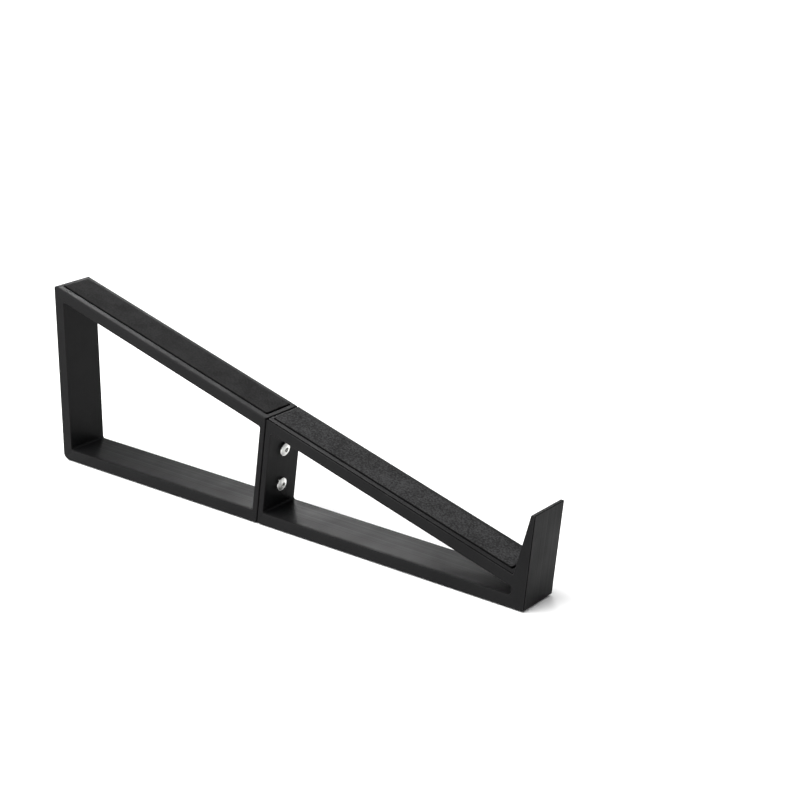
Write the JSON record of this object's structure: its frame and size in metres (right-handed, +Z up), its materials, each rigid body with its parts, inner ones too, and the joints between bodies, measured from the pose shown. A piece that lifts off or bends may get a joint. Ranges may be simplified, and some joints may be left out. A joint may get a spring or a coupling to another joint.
{
  "type": "wedge desk stand bracket",
  "caption": "Slim wedge-shaped bracket of open frames bolted end to end, with an upturned front lip and anti-slip pads along the sloping top.",
  "frame": {"origin": "middle of the length and of the width, at the level the bracket stands on", "axes": "+X from the rear upright towards the lip, +Y across the width, +Z up"},
  "size_m": [0.322, 0.025, 0.1033],
  "materials": {
    "frame_plastic": "matte, with fine lines along the profile",
    "pad_rubber": "matte, finely grained",
    "foot_rubber": "matte",
    "screw_steel": "bright zinc plating",
    "nut_steel": "bright zinc plating"
  },
  "bodies": {
    "root": {"rear_frame": "frame_plastic", "front_frame": "frame_plastic", "rear_top_pad": "pad_rubber", "front_top_pad": "pad_rubber", "rear_foot_strip": "foot_rubber", "front_foot_strip": "foot_rubber", "upper_screw": "screw_steel", "lower_screw": "screw_steel", "upper_nut": "nut_steel", "lower_nut": "nut_steel"}
  },
  "joints": []
}
